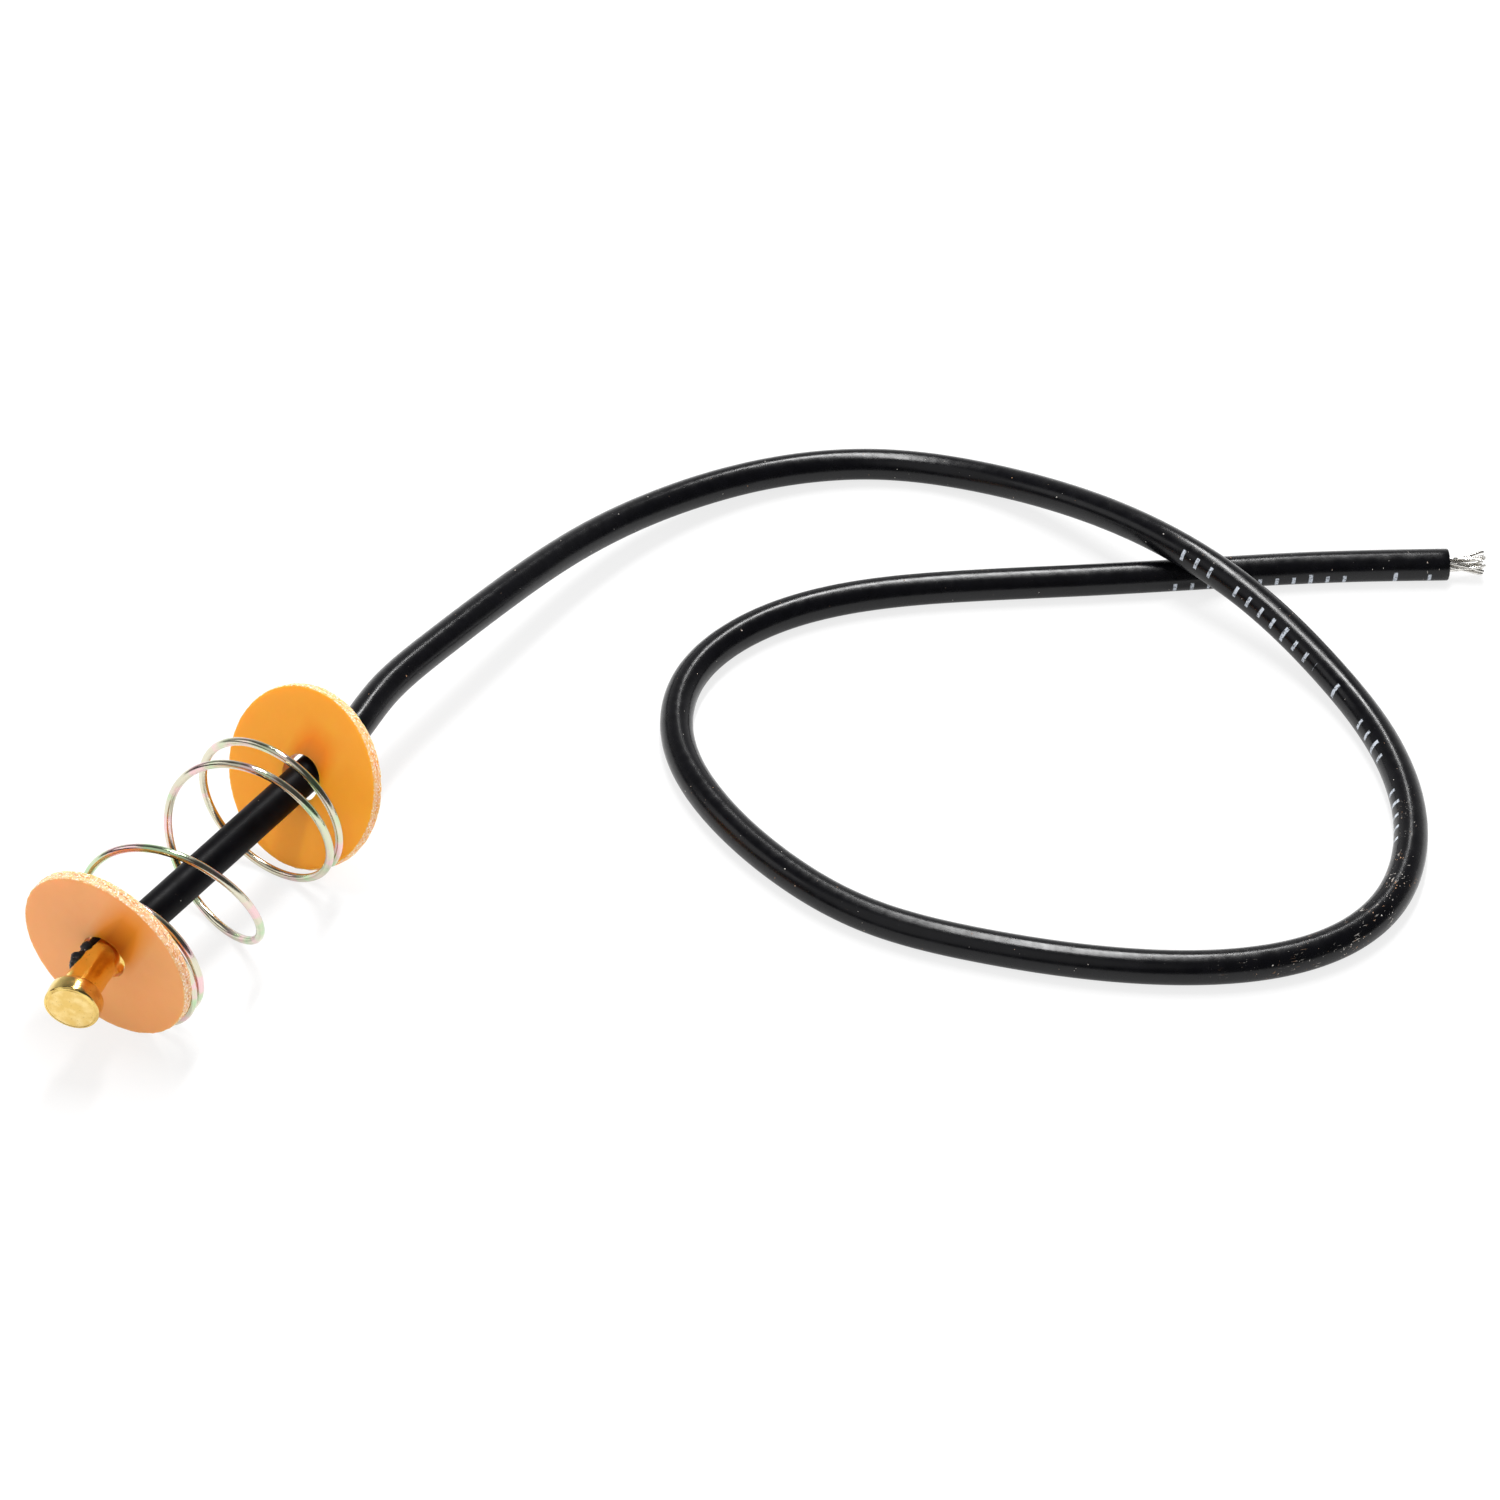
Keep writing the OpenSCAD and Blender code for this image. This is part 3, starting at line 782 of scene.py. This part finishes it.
def build_barrel(contact, back):
    """Sheet rolled round the lead, with an open seam, long dents and a flared end."""
    half_gap = math.asin(contact.seam_width / 2 / contact.barrel_radius)
    steps, sides = 90, 96
    rows = []
    for k in range(steps + 1):
        share = k / steps
        forward = BARREL_START + (back + 0.1 * MM - BARREL_START) * share
        opening = 1 - clamp((forward - SEAM_CLOSES) / (1.0 * MM))
        wavy = 1.05 + 0.2 * math.sin(share * 9) + 0.12 * math.sin(share * 23)
        gap = half_gap * wavy * opening + math.radians(1.2)
        outer, inner = [], []
        for j in range(sides + 1):
            at = seam_at(contact, forward) + gap + (2 * math.pi - 2 * gap) * j / sides
            outside = barrel_surface(contact, forward, at)
            outer.append(contact_point(forward, at, outside))
            inner.append(contact_point(forward, at, outside - contact.sheet))
        rows.append(outer + inner[::-1])
    return skin("barrel", rows, sharp=35)


def hill(off, reach):
    """1 in the middle, falling smoothly on both sides."""
    return math.exp(-((off / reach) ** 2))


def barrel_surface(contact, forward, at):
    """Outside radius of the barrel at a place along and round it."""
    radius = contact.barrel_radius + BARREL_SWELL
    dented, flared = hill(forward - DENTS_AT, DENTS_REACH), hill(forward - FLARES_AT, FLARES_REACH)
    for places, sign, strength in ((DENTS, -1, dented), (FLARES, 1, flared)):
        for turn, height, spread in places:
            off = (math.degrees(at) - turn + 180) % 360 - 180
            radius += sign * height * MM * strength * hill(off, spread)
    return radius + 0.035 * MM * noise.noise(on_circle(at, forward / MM * 0.7) * 1.2)


def build_head(contact, back):
    """The round head: uneven, with rolled edges and a rubbed face in a fine groove."""
    radius, thick = contact.head_radius, contact.head_thickness
    back_round, front_round = 0.30 * MM, 0.20 * MM
    flat = radius - front_round - 0.03 * MM
    profile = [(0.0, 0.0), (radius * 0.55, 0.0)]
    for k in range(9):
        a = math.pi / 2 * k / 8
        out = radius - 0.03 * MM - back_round * (1 - math.sin(a))
        profile.append((out, back_round * (1 - math.cos(a))))
    profile += [(radius - 0.01 * MM, thick * 0.34), (radius, thick * 0.52),
                (radius - 0.01 * MM, thick * 0.68)]
    for k in range(11):
        a = math.pi / 2 * k / 10
        profile.append((radius - 0.015 * MM - front_round * (1 - math.cos(a)),
                        thick - 0.035 * MM - front_round * (1 - math.sin(a))))
    profile += [(flat + 0.02 * MM, thick - 0.055 * MM), (flat - 0.02 * MM, thick - 0.05 * MM),
                (flat - 0.07 * MM, thick - 0.012 * MM)]
    rim_at = len(profile)
    for share in (0.93, 0.8, 0.65, 0.5, 0.35, 0.2, 0.1, 0.0):
        profile.append((flat * share, thick))
    middle = contact_point(back + thick / 2, 0.0, 0.0, HEAD_ASIDE)
    turned = Matrix.Rotation(HEAD_TURN, 3, "Z")
    rings = []
    for r, height in profile:
        ring = []
        for at in turns_round(HEAD_SIDES):
            way = on_circle(at, height / MM)
            uneven = 0.982 + 0.012 * math.cos(3 * at + 0.7) + 0.006 * math.cos(5 * at + 2.0)
            uneven += 0.012 * noise.noise(way * 1.6)
            dish = 0.05 * MM * noise.noise(Vector((r / MM * way.x, r / MM * way.y, 3)) * 0.7)
            sink = min(0.0, dish - 0.02 * MM) if height > thick * 0.95 else 0.0
            spot = contact_point(back + height + sink, at, max(r, 0.001 * MM) * uneven, HEAD_ASIDE)
            ring.append(middle + turned @ (spot - middle))
        rings.append(ring)
    piece = skin("head", rings, [k / len(rings) for k in range(len(rings))], sharp=70)
    rubbed = [float(k >= rim_at) for k in range(len(rings)) for _ in range(HEAD_SIDES)]
    mark_points(piece, "rubbed", rubbed)
    return piece


# ---- washers and spring ----

WASHER_SIDES = 260
WASHER_RINGS = (0.0, 0.04, 0.14, 0.32, 0.55, 0.78, 0.93, 0.975)  # shares of the way to the rim
FRONT_WASHER_LEFT = 0.15 * MM
# The lead's painted shadow on each washer: its way out from the hole, its colour and how far it reaches
FRONT_SHADOW = (math.radians(120), (0.44, 0.09, 0.002), 9.5 * MM)
REAR_SHADOW = (math.radians(104), (0.72, 0.23, 0.012), 5.4 * MM)
SPRING_STEPS = 110  # for each turn
SPRING_SIDES = 18
SPRING_TIP = math.radians(213)  # where the rear tip lies, up from the left side
SPRING_EASE = 0.42  # share of the active coils over which the pitch grows, and falls again
# The closed turns in front are narrower and lie lower, behind the front washer
TUCK_START, TUCK_EASE = 1.35, 0.4  # in turns, before the front tip
TUCK_NARROWER = 0.58 * MM
TUCK_SHIFT = Vector((0.1, 0.55, 0.56)) * MM


def build_washer(name, centre, back_way, washers, seed, ragged):
    """A punched fibre disc: smooth faces, a frayed rim and a torn or clean hole."""
    side, up = across(back_way)
    radius, half, hole = washers.radius, washers.thickness / 2, washers.hole
    # Radius, height and 1 on a cut edge: one face, rim, other face, wall of the hole
    face = [(hole + (radius - hole) * s, half, 1.0 if s == 0.0 else 0.0) for s in WASHER_RINGS]
    profile = [(r, -height, edge) for r, height, edge in face]
    profile += [(radius - 0.05 * MM, -half + 0.03 * MM, 1.0), (radius, -half + 0.14 * MM, 1.0),
                (radius, -0.16 * MM, 1.0), (radius, 0.1 * MM, 1.0), (radius, half - 0.14 * MM, 1.0),
                (radius - 0.05 * MM, half - 0.03 * MM, 1.0)]
    profile += face[::-1]
    profile += [(hole, half * 0.5, 1.0), (hole, 0.0, 1.0), (hole, -half * 0.5, 1.0)]
    on_rim = hole * 1.5  # a cut edge further out than this is the rim
    rings = []
    for r, height, edge in profile:
        ring = []
        for at in turns_round(WASHER_SIDES):
            spot = on_circle(at, 0) * (r / MM)
            local_r, local_h = r, height
            if edge and r > on_rim:
                fray = noise.noise(Vector((spot.x * 1.4, spot.y * 1.4, height / MM * 6 + seed)))
                fray += 0.6 * noise.noise(Vector((spot.x * 4, spot.y * 4, height / MM * 9 + seed)))
                local_r += 0.05 * MM * fray - 0.03 * MM
                local_h *= 1 + 0.05 * noise.noise(spot * 1.1)
            elif edge:
                local_r += ragged * noise.noise(spot * 1.3 + Vector((0, 0, seed + height / MM)))
            ring.append(centre + back_way * local_h + swing(side, up, at) * local_r)
        rings.append(ring)
    rings.append(list(rings[0]))
    piece = skin(name, rings, caps=(False, False), sharp=38)
    rims = [edge if r > on_rim else 0.0 for r, height, edge in [*profile, profile[0]]]
    mark_points(piece, "cut_edge", [rim for rim in rims for _ in range(WASHER_SIDES)])
    return piece


def eased(share, ease):
    """A share that starts and ends slowly, over the eased part at each end."""
    if share < ease:
        return share * share / (2 * ease * (1 - ease))
    if share < 1 - ease:
        return (share - ease / 2) / (1 - ease)
    return 1 - (1 - share) ** 2 / (2 * ease * (1 - ease))


def spring_line(spring):
    """The spring's centre line, rear tip first, and the way out of its coil."""
    coil_r = (spring.outside - spring.wire) / 2
    half_washer = bpy.context.scene.lamp_washers.thickness / 2
    front_yaw = math.atan2(FRONT_OUT.y, FRONT_OUT.x) - math.pi
    lean = abs((front_yaw - spring.yaw + math.pi) % (2 * math.pi) - math.pi)
    stand = half_washer / abs(FRONT_OUT.x) + coil_r * math.tan(lean) + spring.seat_gap
    middle_x = FRONT_AT.x + stand + spring.length / 2
    middle = Vector((middle_x, REAR_AT.y - spring.aside, coil_r + spring.wire / 2))
    back = Vector((math.cos(spring.yaw), math.sin(spring.yaw), 0))
    left = UP.cross(back)
    travel = spring.length - spring.wire
    closed_rise = spring.wire * 1.04
    active_rise = travel - closed_rise * spring.turns
    points, outward = [], []
    steps = int(spring.turns * SPRING_STEPS)
    for k in range(steps + 1):
        turn = spring.turns * k / steps
        share = (turn - spring.closed_rear) / (spring.turns - spring.closed_rear - spring.closed_front)
        run = closed_rise * turn + active_rise * eased(clamp(share), SPRING_EASE)
        out = swing(left, UP, SPRING_TIP - 2 * math.pi * turn)
        tucked = clamp((turn - spring.turns + TUCK_START) / TUCK_EASE)
        spot = middle + back * (travel / 2 - run) + out * (coil_r - TUCK_NARROWER * tucked)
        points.append(spot - TUCK_SHIFT * tucked)
        outward.append(out)
    return points, outward


# ---- studio ----

CAMERA_SIDE = Vector((-0.829, -0.559, 0))
CAMERA_RIGHT = Vector((0.559, -0.829, 0))
CAMERA_AIM = Vector((0.0433, -0.02335, 0))
CAMERA_ELEVATION = math.radians(42)
CAMERA_DISTANCE = 0.36723
# Tones of the room as glossy surfaces see it, by height: all round, and on the camera's side
FAR_TONES = ((0.0, 1.0), (0.10, 0.85), (0.5, 0.34), (0.70, 0.17), (1.0, 0.12))
NEAR_TONES = ((0.0, 0.7), (0.05, 0.06), (0.90, 0.05), (1.0, 0.12))
# A pale patch high on the left, which the rounded edges of the brass pick up
PATCH_WAY = (-0.709, 0.087, 0.697)
PATCH_TONES = ((0.80, 0.0), (0.93, 0.75))
LEAD_MIDDLE = Vector((0.04, -0.035, 0))
# Name, place from the lead's middle, long side, size and share of the overhead lamp's power
LAMPS = (
    ("softbox_above", Vector((0.22, 0.123, 0.60)), Vector((0.939, 0.345, 0)), (0.52, 0.08), 1.0),
    ("softbox_left", Vector((-0.30, 0.50, 0.34)), CAMERA_RIGHT, (0.3, 0.3), 0.07),
)
WHITE = (1, 1, 1, 1)
FLOOR_REACH = 1.6
# Share of plain white in the floor's colour, and how much more of it the camera sees
FLOOR_GLOW, FLOOR_GLOW_SHOWN = 0.45, 0.33


def place_camera(stage):
    """A long lens, 42 degrees above the floor, that takes in the whole lead."""
    back = CAMERA_SIDE.normalized() * math.cos(CAMERA_ELEVATION) + UP * math.sin(CAMERA_ELEVATION)
    data = bpy.data.cameras.new("camera")
    data.lens, data.sensor_width = stage.lens, 36
    data.clip_start, data.clip_end = 0.01, 20
    camera = new_object("camera", data)
    camera.location = CAMERA_AIM + back * CAMERA_DISTANCE
    camera.rotation_mode = "QUATERNION"
    camera.rotation_quaternion = (-back).to_track_quat("-Z", "Y")
    bpy.context.scene.camera = camera


def light_world(stage):
    """An even sky for light; for gloss, a pale horizon, a darker sky and a dark camera side."""
    world = bpy.data.worlds.new("studio")
    bpy.context.scene.world = world
    world.use_nodes = True
    tree = Nodes(world.node_tree)
    tree.nodes.clear()
    direction = tree.add("ShaderNodeTexCoord").outputs["Generated"]
    height = tree.add("ShaderNodeSeparateXYZ", {0: direction}).outputs[2]
    far, near = tree.tones(height, FAR_TONES), tree.tones(height, NEAR_TONES)
    room = tree.blend(tree.ramp(tree.dot(direction, CAMERA_SIDE), -0.8, -0.15), far, near)
    patch = tree.tones(tree.dot(direction, PATCH_WAY), PATCH_TONES)
    bright = tree.blend(1.0, room, patch, "LIGHTEN")
    gloss = tree.add("ShaderNodeBackground", {"Color": bright}).outputs[0]
    white = tree.add("ShaderNodeBackground", {"Color": WHITE}).outputs[0]
    shown = tree.add("ShaderNodeBackground", {"Color": WHITE, "Strength": stage.sky}).outputs[0]
    ray = tree.add("ShaderNodeLightPath").outputs
    for kind, other in (("Glossy", gloss), ("Transmission", white), ("Camera", white)):
        inputs = {0: ray[f"Is {kind} Ray"], 1: shown, 2: other}
        shown = tree.add("ShaderNodeMixShader", inputs).outputs[0]
    tree.add("ShaderNodeOutputWorld", {0: shown})


def hang_lamps(stage):
    """A long softbox overhead and a weak one on the left."""
    for name, place, long_side, size, share in LAMPS:
        data = bpy.data.lights.new(name, "AREA")
        data.shape = "RECTANGLE"
        data.size, data.size_y = size
        data.energy = stage.overhead * share
        shine = place.normalized()
        up = shine.cross(long_side).normalized()
        turn = Matrix((up.cross(shine), up, shine)).transposed()
        new_object(name, data).matrix_world = Matrix.Translation(LEAD_MIDDLE + place) @ turn.to_4x4()


def lay_floor(stage):
    """A wide pale floor that shows white and keeps a soft shadow."""
    mesh = bpy.data.meshes.new("floor")
    spots = [(x * FLOOR_REACH, y * FLOOR_REACH, 0) for x, y in ((-1, -1), (1, -1), (1, 1), (-1, 1))]
    mesh.from_pydata(spots, [], [(0, 1, 2, 3)])
    floor = new_object("floor", mesh)
    make = Finish("floor_paper", Roughness=0.9, Specular_IOR_Level=0.0)
    paper = make.grain(make.place(), 40 * MM, 2.0)
    darker = [0.98 * channel for channel in stage.floor]
    colour = make.blend(make.times(paper, 0.04), stage.floor, darker)
    make.links.new(colour, make.shader.inputs["Base Color"])
    ray = make.add("ShaderNodeLightPath").outputs["Is Camera Ray"]
    glow = make.add("ShaderNodeEmission", {"Color": WHITE, "Strength": 1.0})
    share = make.calc("MULTIPLY_ADD", ray, FLOOR_GLOW_SHOWN, FLOOR_GLOW)
    lit = make.add("ShaderNodeMixShader", {0: share, 1: make.shader.outputs[0], 2: glow.outputs[0]})
    make.links.new(lit.outputs[0], make.nodes["Material Output"].inputs[0])
    mesh.materials.append(make.material)


# ---- operators ----


class LAMPLEAD_OT_stage(bpy.types.Operator):
    """Camera, lamps, background and floor"""

    bl_idname = "lamplead.stage"
    bl_label = "Build the studio"

    def execute(self, context):
        stage = context.scene.lamp_stage
        place_camera(stage)
        light_world(stage)
        hang_lamps(stage)
        lay_floor(stage)
        context.scene.view_settings.view_transform = "Standard"
        return {"FINISHED"}


class LAMPLEAD_OT_lead(bpy.types.Operator):
    """The loose lead with its bare strands, and the straight insulation in the contact"""

    bl_idname = "lamplead.lead"
    bl_label = "Build the lead"

    def execute(self, context):
        lead, contact = context.scene.lamp_lead, context.scene.lamp_contact
        vinyl, tin = insulation_finish("black_vinyl", lead, 0.0), tinned_finish(lead)
        tail, path, run = build_tail(lead, vinyl)
        if abs(run - TAIL_LENGTH) > 1 * MM:
            raise ValueError(f"the lead's route is {run:.4f} m long, and not {TAIL_LENGTH} m")
        strands = build_strands(lead, tin, path)
        build_stem(lead, contact, insulation_finish("dull_vinyl", lead, 0.2), torn_vinyl_finish(lead))
        for node in ("core_stem", "core_tail"):
            core = frame["nodes"][node]
            core.data.materials.clear()
            core.data.materials.append(tin)
        return {"FINISHED"}


class LAMPLEAD_OT_contact(bpy.types.Operator):
    """The brass contact: round head and rolled barrel"""

    bl_idname = "lamplead.contact"
    bl_label = "Build the contact"

    def execute(self, context):
        contact = context.scene.lamp_contact
        back = BEND_TO_FACE - contact.head_thickness
        brass = brass_finish(contact)
        head, barrel = build_head(contact, back), build_barrel(contact, back)
        piece = join("brass_contact", [head, barrel])
        give(piece, brass, replaces=["contact"])
        return {"FINISHED"}


class LAMPLEAD_OT_washers(bpy.types.Operator):
    """Both insulating washers"""

    bl_idname = "lamplead.washers"
    bl_label = "Build the washers"

    def execute(self, context):
        washers = context.scene.lamp_washers
        hung = FRONT_AT + CONTACT_LEFT * FRONT_WASHER_LEFT
        back_way = -FRONT_OUT
        front = build_washer("front_fibre_washer", hung, back_way, washers, 1.0, 0.10 * MM)
        face = washers.front_face
        finish = fibre_finish("fibre_peach", face, washers, FRONT_AT, back_way, FRONT_SHADOW)
        give(front, finish, "front_slider", ["front_washer"])
        rear = build_washer("rear_fibre_washer", REAR_AT, REAR_BACK, washers, 8.0, 0.03 * MM)
        face = washers.rear_face
        finish = fibre_finish("fibre_orange", face, washers, REAR_AT, REAR_BACK, REAR_SHADOW)
        give(rear, finish, "rear_slider", ["rear_washer"])
        return {"FINISHED"}


class LAMPLEAD_OT_spring(bpy.types.Operator):
    """The coil spring between the washers"""

    bl_idname = "lamplead.spring"
    bl_label = "Build the spring"

    def execute(self, context):
        spring = context.scene.lamp_spring
        line, outward = spring_line(spring)
        rings = [
            ring_round(spot, out, way.cross(out).normalized(), lambda _: spring.wire / 2, SPRING_SIDES)
            for spot, out, way in zip(line, outward, directions(line))
        ]
        piece = skin("spring_wire", rings, lengths_along(line))
        give(piece, plated_wire_finish(spring), "front_slider", ["spring"])
        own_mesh(piece)
        return {"FINISHED"}


class LAMPLEAD_PT_panel(bpy.types.Panel):
    """Lists the pieces in the sidebar"""

    bl_label = "Lamp socket lead"
    bl_idname = "LAMPLEAD_PT_panel"
    bl_space_type = "VIEW_3D"
    bl_region_type = "UI"
    bl_category = "Lamp Lead"

    def draw(self, context):
        for operator in OPERATORS:
            self.layout.operator(operator.bl_idname)
        for name, group in SETTINGS.items():
            box = self.layout.box()
            for prop in group.__annotations__:
                box.prop(getattr(context.scene, name), prop)


OPERATORS = (
    LAMPLEAD_OT_stage, LAMPLEAD_OT_lead, LAMPLEAD_OT_contact, LAMPLEAD_OT_washers, LAMPLEAD_OT_spring,
)
SETTINGS = {
    "lamp_lead": LeadSettings,
    "lamp_washers": WasherSettings,
    "lamp_spring": SpringSettings,
    "lamp_contact": ContactSettings,
    "lamp_stage": StageSettings,
}
CLASSES = (*SETTINGS.values(), *OPERATORS, LAMPLEAD_PT_panel)


def register():
    for kind in CLASSES:
        bpy.utils.register_class(kind)
    for name, group in SETTINGS.items():
        setattr(bpy.types.Scene, name, bpy.props.PointerProperty(type=group))


def unregister():
    for name in SETTINGS:
        delattr(bpy.types.Scene, name)
    for kind in reversed(CLASSES):
        bpy.utils.unregister_class(kind)


def main():
    """Builds everything in order."""
    register()
    bpy.ops.lamplead.stage()
    bpy.ops.lamplead.lead()
    bpy.ops.lamplead.contact()
    bpy.ops.lamplead.washers()
    bpy.ops.lamplead.spring()
    bpy.context.view_layer.update()


if __name__ == "__main__":
    main()
